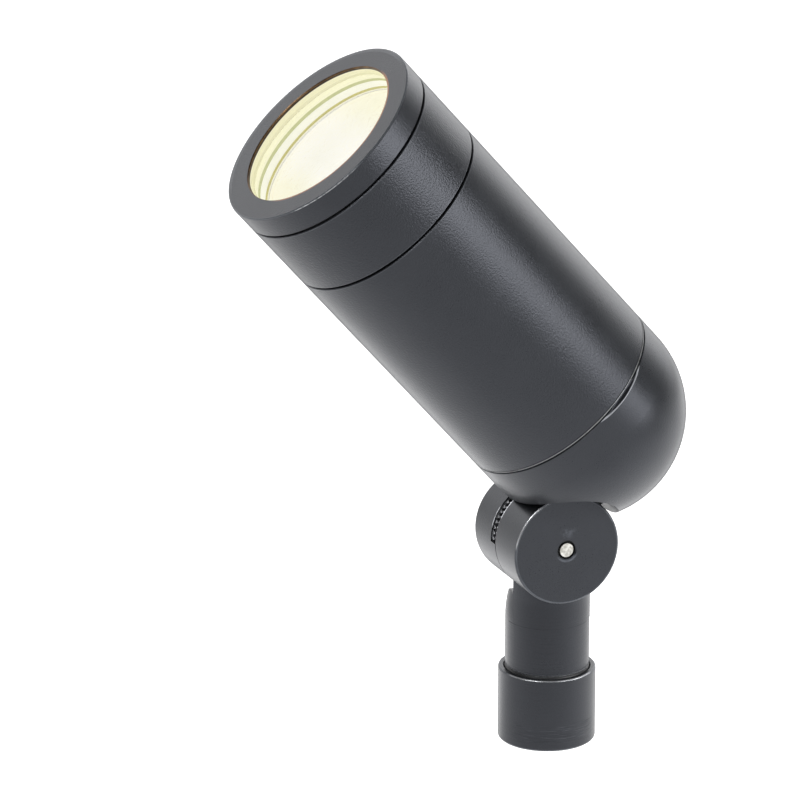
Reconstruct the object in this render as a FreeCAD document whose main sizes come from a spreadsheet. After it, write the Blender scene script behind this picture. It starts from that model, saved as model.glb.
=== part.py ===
import FreeCAD, Part
import math
import os

# Outdoor bullet spotlight: a cylindrical head on a toothed knuckle, a round stem and a threaded collar.
# Millimetres, +Z up. The origin is the centre of the collar's threaded socket mouth.
# The knuckle axis runs along Y at height pivot_z. At rest the head leans tilt degrees from +Z towards -X.
# Head pieces are drawn with the head axis on their own Z, z = 0 level with the pivot, and are then placed.

V = FreeCAD.Vector
doc = FreeCAD.newDocument("bullet_spotlight")
sheet = doc.addObject("Spreadsheet::Sheet", "dims")

DIMS = [
    # overall
    ("tilt", 41.14), ("pivot_z", 58.5), ("head_off", 29.36), ("head_rad", 30.0),
    # head stations along its axis
    ("face_z", 137.05), ("groove_a", 129.8), ("groove_b", 108.5), ("groove_c", 30.92), ("gap", 0.40),
    ("gap_front", 0.62), ("cham_front", 0.18),
    ("edge_cham", 0.12), ("bead_from", 31.38), ("bead_to", 31.68), ("bead_deep", 0.3), ("aperture_rad", 23.25), ("lip_thick", 1.3), ("face_fillet", 0.45),
    # front threads and nose
    ("nose_rad", 27.5), ("nose_top", 134.6), ("cup_rad", 26.55), ("cup_floor", 130.65), ("bore_rad", 24.9),
    ("spigot_rad", 27.4), ("spigot_top", 116.0), ("spigot_seat", 117.2), ("thread_clear", 0.05),
    # rear joint of tube and dome
    ("rear_spigot_rad", 27.0), ("rear_spigot_top", 38.6), ("rear_seat", 39.6), ("rear_bore_rad", 24.0),
    ("tube_bore_rad", 26.0), ("tube_bore_low", 45.0), ("tube_bore_high", 100.0),
    # seals
    ("oring_groove", 1.4), ("oring_width", 2.0),
    # dome
    ("dome_z", 21.2), ("cavity_rad", 26.3), ("pocket_rad", 17.4), ("guard_rad", 19.8), ("guard_y", 6.0),
    ("slot_angle", -71.5), ("slot_deep", 1.0), ("slot_half", 9.0), ("slot_wide", 1.42), ("slot_mid", 31.17),
    # knuckle
    ("disc_rad", 15.5), ("front_y", -12.72), ("stem_rim_y", 0.6), ("head_rim_y", 0.95), ("back_y", 14.85),
    ("disc_fillet", 0.5), ("teeth", 60), ("tooth_height", 1.5), ("tooth_in", 10.1), ("tooth_out", 14.9),
    ("stem_crest_y", 2.1), ("head_crest_y", 2.25), ("head_base_y", 3.8), ("lip_in", 15.0),
    ("notch_from", 86.0), ("notch_span", 55.0),
    ("hub_in", 7.8), ("hub_out", 9.9), ("stem_hub_y", 1.25), ("head_hub_y", 3.1),
    ("boss_rad", 4.2), ("stem_boss_y", 2.0), ("head_boss_y", 2.6), ("stem_room_y", -9.5), ("head_room_y", 8.5),
    ("screw_rad", 2.5), ("screw_clear_rad", 2.8), ("screw_tip_rad", 2.05), ("screw_tip_y", -12.5),
    ("screw_head_rad", 4.25), ("screw_head_y", 11.65), ("screw_top_y", 14.6), ("bore_c_rad", 5.2), ("bore_c_y", 10.6),
    ("washer_rad", 4.9),
    # stem
    ("stem_rad", 11.65), ("stem_low", 21.6), ("stem_line", 35.4), ("neck_y", -2.5), ("shoulder_rise", 19.1),
    ("swing_rad", 18.5), ("stem_spigot_rad", 9.85), ("stem_spigot_low", 11.5), ("stem_bore_rad", 4.5),
    ("stem_room_rad", 8.0), ("stem_room_low", 24.0), ("stem_room_top", 38.0), ("lead_hole_rad", 2.8), ("lead_hole_y", -6.3),
    # collar
    ("collar_rad", 13.5), ("collar_top", 20.9), ("socket_rad", 9.9), ("socket_deep", 10.2), ("relief_rad", 10.7),
    ("relief_top", 11.4), ("seal_rad", 11.9), ("seal_floor", 19.65), ("collar_fillet", 0.45), ("collar_foot_fillet", 0.8),
    # lens stack
    ("glass_rad", 26.4), ("glass_low", 132.3), ("glass_top", 135.4), ("ring_in", 24.0),
    # lamp
    ("lamp_rad", 24.6), ("lamp_top", 127.3), ("lamp_lens_top", 127.0), ("lamp_floor", 97.0), ("lamp_low", 88.0),
    ("base_rad", 9.5), ("base_low", 76.0), ("pin_rad", 0.75), ("pin_half", 2.665), ("pin_low", 69.6),
    # lamp holder
    ("socket_low", 64.2), ("socket_top", 75.7), ("bracket_low", 62.7), ("bracket_thick", 1.2), ("boss_y", 21.8),
    ("lead_rad", 0.95),
]
for row, (alias, value) in enumerate(DIMS, 1):
    sheet.set("A%d" % row, alias)
    sheet.set("B%d" % row, str(value))
    sheet.setAlias("B%d" % row, alias)
doc.recompute()


def dim(alias):
    return float(sheet.get(alias))


def bind(obj, **props):
    """Bind properties to expressions on the sheet. Names such as bx, by, bz are the placement's base."""
    names = {"bx": "Placement.Base.x", "by": "Placement.Base.y", "bz": "Placement.Base.z"}
    for key, expression in props.items():
        obj.setExpression(names.get(key, key), str(expression))
    return obj


def cyl(name, rad, low, high, x="0", y="0"):
    """Cylinder along Z from low to high."""
    o = doc.addObject("Part::Cylinder", name)
    return bind(o, Radius=rad, Height="(%s)-(%s)" % (high, low), bx=x, by=y, bz=low)


def ycyl(name, rad, low, high, x="0", z="0"):
    """Cylinder along Y from low to high, drawn from its high end."""
    o = doc.addObject("Part::Cylinder", name)
    o.Placement = FreeCAD.Placement(V(0, 0, 0), FreeCAD.Rotation(V(1, 0, 0), 90))
    return bind(o, Radius=rad, Height="(%s)-(%s)" % (high, low), bx=x, by=high, bz=z)


def box(name, x0, x1, y0, y1, z0, z1):
    o = doc.addObject("Part::Box", name)
    return bind(o, Length="(%s)-(%s)" % (x1, x0), Width="(%s)-(%s)" % (y1, y0), Height="(%s)-(%s)" % (z1, z0),
                bx=x0, by=y0, bz=z0)


def fuse(name, *items):
    o = doc.addObject("Part::MultiFuse", name)
    o.Shapes = list(items)
    o.Refine = True
    return o


def cut(name, base, *tools):
    o = doc.addObject("Part::Cut", name)
    o.Base = base
    if len(tools) == 1:
        o.Tool = tools[0]
    else:
        group = doc.addObject("Part::MultiFuse", name + "_tools")
        group.Shapes = list(tools)
        o.Tool = group
    o.Refine = True
    return o


def common(name, *items):
    o = doc.addObject("Part::MultiCommon", name)
    o.Shapes = list(items)
    o.Refine = True
    return o


def round_edges(name, base, radius, *rings):
    """Fillet the circular edges of base that match (radius, centre along the axis, axis index)."""
    doc.recompute()
    o = doc.addObject("Part::Fillet", name)
    o.Base = base
    picked = []
    for i, e in enumerate(base.Shape.Edges, 1):
        if isinstance(e.Curve, Part.Circle):
            for rad, at, axis in rings:
                if abs(e.Curve.Radius - rad) < 1e-3 and abs(e.Curve.Center[axis] - at) < 1e-3:
                    picked.append((i, radius, radius))
    if len(picked) < len(rings):
        raise RuntimeError("no edge for " + name)
    o.Edges = picked
    return o


def turned(name, points):
    """Body of revolution about Z. points are (radius, height) expressions round a closed profile."""
    body = doc.addObject("PartDesign::Body", name)
    sketch = body.newObject("Sketcher::SketchObject", name + "_profile")
    plane = [f for f in body.Origin.OriginFeatures if f.Role == "XZ_Plane"][0]
    sketch.AttachmentSupport = [(plane, "")]
    sketch.MapMode = "FlatFace"
    doc.recompute()
    values = []
    for rad, high in points:
        values.append((float(sheet.evalExpression(rad)), float(sheet.evalExpression(high))))
    count = len(points)
    for i in range(count):
        a, b = values[i], values[(i + 1) % count]
        sketch.addGeometry(Part.LineSegment(V(a[0], a[1], 0), V(b[0], b[1], 0)), False)
    import Sketcher
    for i in range(count):
        sketch.addConstraint(Sketcher.Constraint("Coincident", i, 2, (i + 1) % count, 1))
    for i, (rad, high) in enumerate(points):
        if abs(values[i][0]) < 1e-9:
            sketch.addConstraint(Sketcher.Constraint("PointOnObject", i, 1, -2))
        else:
            k = sketch.addConstraint(Sketcher.Constraint("DistanceX", -1, 1, i, 1, values[i][0]))
            sketch.setExpression("Constraints[%d]" % k, rad)
        k = sketch.addConstraint(Sketcher.Constraint("DistanceY", -1, 1, i, 1, values[i][1]))
        sketch.setExpression("Constraints[%d]" % k, high)
    turn = body.newObject("PartDesign::Revolution", name + "_turn")
    turn.Profile = sketch
    turn.ReferenceAxis = (sketch, ["V_Axis"])
    turn.Angle = 360.0
    doc.recompute()
    return body


def body_fillet(body, name, radius, *rings):
    """Fillet circular edges of a turned body."""
    tip = body.Tip
    picked = []
    for i, e in enumerate(tip.Shape.Edges, 1):
        if isinstance(e.Curve, Part.Circle):
            for rad, at in rings:
                if abs(e.Curve.Radius - rad) < 1e-3 and abs(e.Curve.Center.z - at) < 1e-3:
                    picked.append("Edge%d" % i)
    if len(picked) < len(rings):
        raise RuntimeError("no edge for " + name)
    feature = body.newObject("PartDesign::Fillet", name)
    feature.Base = (tip, picked)
    feature.setExpression("Radius", radius)
    doc.recompute()
    return feature


def torus(name, major, minor, z):
    o = doc.addObject("Part::Torus", name)
    return bind(o, Radius1=major, Radius2=minor, bz=z)


def solid_from_points(points, faces):
    shells = []
    for f in faces:
        shells.append(Part.Face(Part.makePolygon([points[i] for i in f] + [points[f[0]]])))
    return Part.makeSolid(Part.makeShell(shells))


def tooth_cutters(name, crest, side, phase):
    """Sixty tapering V cutters round the knuckle axis. Each is a pyramid with its point on the axis.
    side is -1 where the roots lie towards -Y of the crest plane and +1 where they lie towards +Y."""
    count = int(dim("teeth"))
    reach = dim("tooth_out") + 1.5
    deep = dim("tooth_height") * reach / dim("tooth_out")
    half = reach * math.tan(math.pi / count) * 0.94
    over = 0.1
    wide = half * (deep + over) / deep
    one = solid_from_points(
        [V(0, crest, 0), V(reach, crest + side * deep, 0), V(reach, crest - side * over, wide), V(reach, crest - side * over, -wide)],
        [(0, 1, 2), (0, 2, 3), (0, 3, 1), (1, 3, 2)])
    if one.Volume < 0:
        one.reverse()
    copies = []
    for i in range(count):
        c = one.copy()
        c.rotate(V(0, 0, 0), V(0, 1, 0), phase + 360.0 * i / count)
        copies.append(c)
    o = doc.addObject("Part::Feature", name)
    o.Shape = Part.makeCompound(copies)
    return o


def routed(points, bend):
    """Path of straight runs joined by tangent arcs."""
    edges = []
    start = points[0]
    for i in range(1, len(points) - 1):
        p, a, b = points[i], points[i - 1], points[i + 1]
        u, w = (a - p), (b - p)
        la, lb = u.Length, w.Length
        u.normalize()
        w.normalize()
        turn = math.pi - u.getAngle(w)
        t = min(0.45 * min(la, lb), bend * math.tan(turn / 2.0))
        p1, p2 = p + u * t, p + w * t
        rad = t / math.tan(turn / 2.0)
        mid_dir = u + w
        mid_dir.normalize()
        mid = p + mid_dir * (math.sqrt(rad * rad + t * t) - rad)
        edges.append(Part.LineSegment(start, p1).toShape())
        edges.append(Part.Arc(p1, mid, p2).toShape())
        start = p2
    edges.append(Part.LineSegment(start, points[-1]).toShape())
    return Part.Wire(edges)


def swept(path, radius):
    tangent = path.Edges[0].tangentAt(path.Edges[0].FirstParameter)
    ring = Part.Wire(Part.makeCircle(radius, path.Edges[0].valueAt(path.Edges[0].FirstParameter), tangent))
    return path.makePipeShell([ring], True, True)


def in_head(obj):
    """Place a piece that is drawn on the head's own axis."""
    if obj.TypeId in ("Part::Torus", "Part::Box", "Part::Cylinder"):
        held = doc.addObject("Part::Compound", obj.Name + "_held")
        held.Links = [obj]
        obj = held
    obj.Placement = FreeCAD.Placement(V(0, 0, 0), FreeCAD.Rotation(V(0, -1, 0), dim("tilt")))
    bind(obj, bx="dims.head_off * cos(dims.tilt * 1 deg)", bz="dims.pivot_z + dims.head_off * sin(dims.tilt * 1 deg)")
    obj.setExpression("Placement.Rotation.Angle", "dims.tilt * 1 deg")
    return obj


def head_shape(name, shape):
    """A piece drawn on the head's own axis by its own shape."""
    o = doc.addObject("Part::Feature", name)
    o.Shape = shape
    return in_head(o)


PARTS = {}


def piece(node, obj):
    obj.Label = node
    PARTS[node] = obj
    return obj


# ---------------------------------------------------------------- collar
collar = turned("collar", [
    ("dims.socket_rad", "0"), ("dims.collar_rad", "0"), ("dims.collar_rad", "dims.collar_top"),
    ("dims.seal_rad + 0.25", "dims.collar_top"), ("dims.seal_rad", "dims.collar_top - 0.25"), ("dims.seal_rad", "dims.seal_floor"), ("dims.socket_rad", "dims.seal_floor"),
    ("dims.socket_rad", "dims.relief_top"), ("dims.relief_rad", "dims.relief_top"),
    ("dims.relief_rad", "dims.socket_deep"), ("dims.socket_rad", "dims.socket_deep")])
body_fillet(collar, "collar_top_round", "dims.collar_fillet", (dim("collar_rad"), dim("collar_top")))
body_fillet(collar, "collar_foot_round", "dims.collar_foot_fillet", (dim("collar_rad"), 0.0))
piece("base_collar", collar)

# Seal ring squeezed between the stem's shoulder and the collar
piece("collar_o_ring", torus("collar_seal", "10.85", "0.9", "20.6"))

# ---------------------------------------------------------------- stem with the front half of the knuckle
disc = ycyl("stem_disc", "dims.disc_rad", "dims.front_y", "dims.stem_rim_y", z="dims.pivot_z")
disc_r = round_edges("stem_disc_round", disc, dim("disc_fillet"), (dim("disc_rad"), dim("front_y"), 1))
foot = cyl("stem_foot", "dims.stem_rad", "dims.stem_low", "dims.stem_line")
foot_c = doc.addObject("Part::Chamfer", "stem_foot_edge")
doc.recompute()
foot_c.Base = foot
foot_c.Edges = [(i, 0.2, 0.2) for i, e in enumerate(foot.Shape.Edges, 1)
                if isinstance(e.Curve, Part.Circle) and abs(e.Curve.Center.z - dim("stem_low")) < 1e-3]
# front half of the neck, a hair larger than the stem below it
neck_round = cyl("neck_round", "dims.stem_rad + 0.1", "dims.stem_line", "dims.pivot_z - 2")
neck_front = common("neck_front", neck_round, box("neck_keep", "-20", "20", "-20", "dims.neck_y", "0", "dims.pivot_z"))
# back half of the stem's top curves inward and is cut away for the head's half of the knuckle
barrel = doc.addObject("Part::Ellipsoid", "shoulder_barrel")
bind(barrel, Radius1="dims.shoulder_rise", Radius2="dims.stem_rad", Radius3="dims.stem_rad", bz="dims.stem_line - 0.01")
barrel.Angle1 = 0
barrel.Angle2 = 90
shoulder_full = common("shoulder_full", barrel, box("shoulder_keep", "-20", "20", "dims.neck_y - 0.5", "20", "dims.stem_line - 0.01", "dims.pivot_z"))
shoulder = cut("shoulder", shoulder_full, ycyl("swing_room", "dims.swing_rad", "dims.neck_y", "30", z="dims.pivot_z"),
               box("over_swing", "-20", "20", "dims.neck_y", "20", "dims.pivot_z - 6", "dims.pivot_z + 10"))
stem_spigot = cyl("stem_spigot", "dims.stem_spigot_rad", "dims.stem_spigot_low", "dims.stem_low + 1")
stem_outer = fuse("stem_outer", disc_r, foot_c, neck_front, shoulder, stem_spigot)
stem_bored = cut("stem_bored", stem_outer,
                 cyl("stem_bore", "dims.stem_bore_rad", "dims.stem_spigot_low - 1", "dims.stem_room_low + 1"),
                 cyl("stem_room", "dims.stem_room_rad", "dims.stem_room_low", "dims.stem_room_top"),
                 cyl("lead_hole", "dims.lead_hole_rad", "dims.stem_room_top - 1", "dims.pivot_z - 6", y="dims.lead_hole_y"),
                 ycyl("stem_knuckle_room", "dims.hub_in", "dims.stem_room_y", "dims.stem_rim_y + 1", z="dims.pivot_z"))
# teeth, hub ring and screw boss on the back of the disc
ring_full = ycyl("stem_tooth_ring", "dims.tooth_out", "dims.stem_rim_y - 0.2", "dims.stem_crest_y", z="0")
ring_in = ycyl("stem_tooth_ring_in", "dims.tooth_in", "dims.stem_rim_y - 1", "dims.stem_crest_y + 1", z="0")
stem_ring = cut("stem_ring", ring_full, ring_in)
stem_teeth = cut("stem_teeth", stem_ring, tooth_cutters("stem_cutters", dim("stem_crest_y"), -1, 0.0))
bind(stem_teeth, bz="dims.pivot_z")
hub_a = cut("stem_hub", ycyl("stem_hub_out", "dims.hub_out", "dims.stem_rim_y - 0.2", "dims.stem_hub_y", z="dims.pivot_z"),
            ycyl("stem_hub_in", "dims.hub_in", "dims.stem_rim_y - 1", "dims.stem_hub_y + 1", z="dims.pivot_z"))
boss_a = ycyl("stem_boss", "dims.boss_rad", "dims.stem_room_y - 0.5", "dims.stem_boss_y", z="dims.pivot_z")
stem_all = fuse("stem_all", stem_bored, stem_teeth, hub_a, boss_a)
screw_hole = ycyl("stem_thread", "dims.screw_rad + dims.thread_clear", "dims.front_y - 1", "dims.stem_boss_y + 1", z="dims.pivot_z")
mouth = doc.addObject("Part::Cone", "thread_mouth")
mouth.Placement = FreeCAD.Placement(V(0, 0, 0), FreeCAD.Rotation(V(1, 0, 0), 90))
bind(mouth, Radius1="dims.screw_rad + dims.thread_clear", Radius2="dims.screw_rad + dims.thread_clear + 0.35", Height="0.35",
     by="dims.front_y + 0.34", bz="dims.pivot_z")
stem = cut("stem", stem_all, screw_hole, mouth)
piece("stem_knuckle", stem)

piece("stem_wire_grommet", turned("stem_bush", [
    ("2.2", "11.7"), ("4.42", "11.7"), ("4.42", "17.5"), ("2.2", "17.5")]))

# ---------------------------------------------------------------- between the knuckle halves
piece("knuckle_gasket", cut("gasket", ycyl("gasket_out", "dims.hub_out - 0.1", "dims.stem_hub_y + 0.02", "dims.head_hub_y - 0.05", z="dims.pivot_z"),
                            ycyl("gasket_in", "dims.hub_in + 0.2", "0", "dims.head_hub_y + 1", z="dims.pivot_z")))

# ---------------------------------------------------------------- pivot screw and its washer
shank = ycyl("screw_shank", "dims.screw_rad", "dims.screw_tip_y + 0.45", "dims.screw_head_y + 0.5", z="dims.pivot_z")
tip = doc.addObject("Part::Cone", "screw_tip")
tip.Placement = FreeCAD.Placement(V(0, 0, 0), FreeCAD.Rotation(V(1, 0, 0), 90))
bind(tip, Radius1="dims.screw_rad", Radius2="dims.screw_tip_rad", Height="0.45", by="dims.screw_tip_y + 0.45", bz="dims.pivot_z")
screw_head = ycyl("screw_head", "dims.screw_head_rad", "dims.screw_head_y", "dims.screw_top_y", z="dims.pivot_z")
screw_head_r = round_edges("screw_head_round", screw_head, 0.5, (dim("screw_head_rad"), dim("screw_top_y"), 1))
hexagon = doc.addObject("Part::Prism", "screw_hex")
hexagon.Polygon = 6
hexagon.Placement = FreeCAD.Placement(V(0, 0, 0), FreeCAD.Rotation(V(1, 0, 0), 90))
bind(hexagon, Circumradius="1.75", Height="2", by="dims.screw_top_y + 0.2", bz="dims.pivot_z")
piece("pivot_screw", cut("screw", fuse("screw_solid", shank, tip, screw_head_r), hexagon))
piece("pivot_washer", cut("washer", ycyl("washer_out", "dims.washer_rad", "dims.bore_c_y + 0.02", "dims.screw_head_y - 0.02", z="dims.pivot_z"),
                          ycyl("washer_in", "dims.screw_rad + 0.2", "dims.bore_c_y - 1", "dims.screw_head_y + 1", z="dims.pivot_z")))

# ---------------------------------------------------------------- back dome with the head's half of the knuckle
P = "-dims.head_off"      # the pivot's place in head coordinates
ball = doc.addObject("Part::Sphere", "dome_ball")
bind(ball, Radius="dims.head_rad", bz="dims.dome_z")
ball.Angle1, ball.Angle2 = -90, 0
skirt = turned("dome_skirt", [
    ("0", "dims.dome_z"), ("dims.head_rad", "dims.dome_z"), ("dims.head_rad", "dims.groove_c - dims.gap/2 - dims.edge_cham"),
    ("dims.head_rad - dims.edge_cham", "dims.groove_c - dims.gap/2"), ("dims.rear_spigot_rad", "dims.groove_c - dims.gap/2"),
    ("dims.rear_spigot_rad", "32.2"), ("dims.rear_spigot_rad - dims.oring_groove", "32.2"),
    ("dims.rear_spigot_rad - dims.oring_groove", "32.2 + dims.oring_width"), ("dims.rear_spigot_rad", "32.2 + dims.oring_width"),
    ("dims.rear_spigot_rad", "dims.rear_spigot_top - 0.4"), ("dims.rear_spigot_rad - 0.4", "dims.rear_spigot_top"),
    ("0", "dims.rear_spigot_top")])
cheek = ycyl("cheek", "dims.disc_rad", "dims.head_rim_y", "dims.back_y", x=P)
cheek_r = round_edges("cheek_round", cheek, dim("disc_fillet"), (dim("disc_rad"), dim("back_y"), 1))
dome_outer = fuse("dome_outer", ball, skirt, cheek_r)
pocket = ycyl("dome_pocket", "dims.pocket_rad", "-40", "dims.head_rim_y", x=P)
recess = ycyl("cheek_recess", "dims.lip_in", "0", "dims.head_base_y", x=P)
notch = doc.addObject("Part::Cylinder", "lip_notch")
notch.Placement = FreeCAD.Placement(V(0, 0, 0), FreeCAD.Rotation(V(0, -1, 0), dim("notch_from")).multiply(FreeCAD.Rotation(V(1, 0, 0), 90)))
bind(notch, Radius="dims.disc_rad + 0.6", Height="dims.head_base_y - dims.head_rim_y + 1", Angle="dims.notch_span", bx=P, by="dims.head_base_y")
cavity_ball = doc.addObject("Part::Sphere", "cavity_ball")
bind(cavity_ball, Radius="dims.cavity_rad", bz="dims.dome_z")
cavity_all = fuse("cavity_all", common("cavity_low", cavity_ball, cyl("cavity_low_keep", "40", "-20", "dims.dome_z")),
                  cyl("cavity_high", "dims.rear_bore_rad", "dims.dome_z - 1", "dims.rear_spigot_top + 1"))
cavity = cut("cavity", cavity_all, ycyl("cavity_guard", "dims.guard_rad", "-40", "dims.guard_y", x=P),
             ycyl("cavity_guard_b", "dims.disc_rad - 1.2", "0", "dims.back_y + 1.5", x=P))
passage = cyl("lead_passage", "2.0", "5.8", "23")
passage.Placement = FreeCAD.Placement(V(0, 0, 0), FreeCAD.Rotation(V(0, 0, 1), V(dim("head_off"), 0, dim("dome_z"))))
along = V(dim("head_off"), 0, dim("dome_z"))
along.normalize()
passage.setExpression("Placement.Base.x", "-dims.head_off + 5.8 * %.9f" % along.x)
passage.setExpression("Placement.Base.y", "6.3")
passage.setExpression("Placement.Base.z", "5.8 * %.9f" % along.z)
# shallow lens-shaped pry slot in the dome's front edge, scooped by an ellipsoid that is centred just past the edge
slot = doc.addObject("Part::Ellipsoid", "pry_slot")
slot.Angle1, slot.Angle2, slot.Angle3 = -90, 90, 360
slot.Placement = FreeCAD.Placement(V(0, 0, 0), FreeCAD.Rotation(V(0, 0, 1), dim("slot_angle")))
bind(slot, Radius1="dims.slot_wide", Radius2="dims.slot_deep", Radius3="dims.slot_half",
     bx="dims.head_rad * cos(dims.slot_angle * 1 deg)", by="dims.head_rad * sin(dims.slot_angle * 1 deg)", bz="dims.slot_mid")
slot_only = common("pry_slot_cut", slot, cyl("pry_slot_keep", "32", "dims.slot_mid - dims.slot_wide - 0.5", "dims.groove_c"))
dome_open = cut("dome_open", dome_outer, pocket, recess, notch, slot_only)
dome_hollow = cut("dome_hollow", dome_open, cavity)
dome_bored = cut("dome_bored", dome_hollow, ycyl("head_knuckle_room", "dims.hub_in", "dims.head_base_y - 1", "dims.head_room_y", x=P), passage)
ring_full_b = ycyl("head_tooth_ring", "dims.lip_in + 0.05", "dims.head_crest_y", "dims.head_base_y + 0.2")
ring_in_b = ycyl("head_tooth_ring_in", "dims.tooth_in", "0", "dims.head_base_y + 1")
head_ring = cut("head_ring", ring_full_b, ring_in_b)
head_teeth = cut("head_teeth", head_ring, tooth_cutters("head_cutters", dim("head_crest_y"), 1, 3.0 - dim("tilt")))
bind(head_teeth, bx=P)
hub_b = cut("head_hub", ycyl("head_hub_out", "dims.hub_out", "dims.head_hub_y", "dims.head_base_y + 0.2", x=P),
            ycyl("head_hub_in", "dims.hub_in", "0", "dims.head_base_y + 1", x=P))
boss_b = ycyl("head_boss", "dims.boss_rad", "dims.head_boss_y", "dims.head_room_y + 0.5", x=P)
dome_all = fuse("dome_all", dome_bored, head_teeth, hub_b, boss_b)
dome = cut("dome", dome_all, ycyl("cheek_hole", "dims.screw_clear_rad", "0", "dims.back_y + 1", x=P),
           ycyl("cheek_counterbore", "dims.bore_c_rad", "dims.bore_c_y", "dims.back_y + 20", x=P))
piece("rear_dome", in_head(dome))

# rubber bush in the lead passage
bush_a = cut("dome_bush", cyl("dome_bush_out", "1.97", "0", "6"), cyl("dome_bush_in", "1.05", "-1", "7"))
bush_shape_axis = FreeCAD.Rotation(V(0, 0, 1), along)
doc.recompute()
bush = bush_a.Shape.copy()
bush.Placement = FreeCAD.Placement(V(-dim("head_off"), 6.3, 0) + along * 12.0, bush_shape_axis)
piece("dome_wire_grommet", head_shape("dome_grommet", Part.Solid(bush.Solids[0])))

# ---------------------------------------------------------------- tube
tube_turned = turned("tube", [
    ("dims.rear_spigot_rad + dims.thread_clear", "dims.groove_c + dims.gap/2"), ("dims.head_rad - dims.edge_cham", "dims.groove_c + dims.gap/2"),
    ("dims.head_rad", "dims.groove_c + dims.gap/2 + dims.edge_cham"), ("dims.head_rad", "dims.bead_from"),
    ("dims.head_rad - dims.bead_deep", "dims.bead_from"), ("dims.head_rad - dims.bead_deep", "dims.bead_to"), ("dims.head_rad", "dims.bead_to"),
    ("dims.head_rad", "dims.groove_b - dims.gap_front/2 - dims.cham_front"),
    ("dims.head_rad - dims.cham_front", "dims.groove_b - dims.gap_front/2"), ("dims.spigot_rad", "dims.groove_b - dims.gap_front/2"),
    ("dims.spigot_rad", "110.0"), ("dims.spigot_rad - dims.oring_groove", "110.0"),
    ("dims.spigot_rad - dims.oring_groove", "110.0 + dims.oring_width"), ("dims.spigot_rad", "110.0 + dims.oring_width"),
    ("dims.spigot_rad", "dims.spigot_top - 0.4"), ("dims.spigot_rad - 0.4", "dims.spigot_top"),
    ("dims.bore_rad", "dims.spigot_top"), ("dims.bore_rad", "dims.tube_bore_high"), ("dims.tube_bore_rad", "dims.tube_bore_high"),
    ("dims.tube_bore_rad", "dims.tube_bore_low"), ("dims.bore_rad", "dims.tube_bore_low"), ("dims.bore_rad", "dims.rear_seat"),
    ("dims.rear_spigot_rad + dims.thread_clear", "dims.rear_seat")])
boss_keep = cyl("boss_keep", "dims.tube_bore_rad + 0.5", "50", "dims.bracket_low - 0.02")
bosses = common("tube_bosses", fuse("boss_pair", cyl("boss_p", "4.2", "50", "dims.bracket_low - 0.02", y="dims.boss_y + 1.2"),
                                    cyl("boss_n", "4.2", "50", "dims.bracket_low - 0.02", y="-dims.boss_y - 1.2")), boss_keep)
tube_all = cut("tube_all", fuse("tube_with_bosses", tube_turned, bosses),
               cyl("boss_hole_p", "1.52", "54", "dims.bracket_low + 1", y="dims.boss_y"),
               cyl("boss_hole_n", "1.52", "54", "dims.bracket_low + 1", y="-dims.boss_y"))
piece("body_tube", in_head(tube_all))
piece("dome_o_ring", in_head(torus("dome_seal", "26.32", "0.68", "32.2 + dims.oring_width/2")))
piece("collar_tube_o_ring", in_head(torus("tube_seal", "26.72", "0.68", "110.0 + dims.oring_width/2")))

# ---------------------------------------------------------------- front collar and bezel
piece("front_collar", in_head(turned("front_ring", [
    ("dims.spigot_rad + dims.thread_clear", "dims.groove_b + dims.gap_front/2"), ("dims.head_rad - dims.cham_front", "dims.groove_b + dims.gap_front/2"),
    ("dims.head_rad", "dims.groove_b + dims.gap_front/2 + dims.cham_front"), ("dims.head_rad", "dims.groove_a - dims.gap_front/2 - dims.cham_front"),
    ("dims.head_rad - dims.cham_front", "dims.groove_a - dims.gap_front/2"), ("dims.nose_rad", "dims.groove_a - dims.gap_front/2"),
    ("dims.nose_rad", "dims.nose_top"), ("dims.cup_rad", "dims.nose_top"), ("dims.cup_rad", "dims.cup_floor"),
    ("dims.bore_rad", "dims.cup_floor"), ("dims.bore_rad", "dims.spigot_seat"), ("dims.spigot_rad + dims.thread_clear", "dims.spigot_seat")])))
bezel = turned("bezel", [
    ("dims.nose_rad + dims.thread_clear", "dims.groove_a + dims.gap_front/2"), ("dims.head_rad - dims.cham_front", "dims.groove_a + dims.gap_front/2"),
    ("dims.head_rad", "dims.groove_a + dims.gap_front/2 + dims.cham_front"), ("dims.head_rad", "dims.face_z"),
    ("dims.aperture_rad + 0.2", "dims.face_z"), ("dims.aperture_rad", "dims.face_z - 0.2"),
    ("dims.aperture_rad", "dims.face_z - dims.lip_thick"), ("dims.nose_rad + dims.thread_clear", "dims.face_z - dims.lip_thick")])
body_fillet(bezel, "bezel_round", "dims.face_fillet", (dim("head_rad"), dim("face_z")))
piece("bezel_ring", in_head(bezel))

# ---------------------------------------------------------------- lens stack
piece("lens_front_gasket", in_head(turned("front_gasket", [
    ("23.6", "dims.glass_top + 0.01"), ("26.45", "dims.glass_top + 0.01"), ("26.45", "dims.face_z - dims.lip_thick - 0.03"),
    ("23.6", "dims.face_z - dims.lip_thick - 0.03")])))
glass = turned("glass", [
    ("0", "dims.glass_low"), ("dims.glass_rad - 0.2", "dims.glass_low"), ("dims.glass_rad", "dims.glass_low + 0.2"),
    ("dims.glass_rad", "dims.glass_top - 0.2"), ("dims.glass_rad - 0.2", "dims.glass_top"), ("0", "dims.glass_top")])
piece("lens_glass", in_head(glass))
piece("lens_seat_gasket", in_head(turned("seat_gasket", [
    ("dims.ring_in", "dims.cup_floor + 0.02"), ("26.5", "dims.cup_floor + 0.02"), ("26.5", "dims.glass_low - 0.01"), ("dims.ring_in", "dims.glass_low - 0.01")])))
piece("spacer_ring", in_head(turned("spacer", [
    ("dims.ring_in", "128.45"), ("dims.bore_rad - 0.05", "128.45"), ("dims.bore_rad - 0.05", "130.62"), ("dims.ring_in", "130.62")])))
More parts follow.
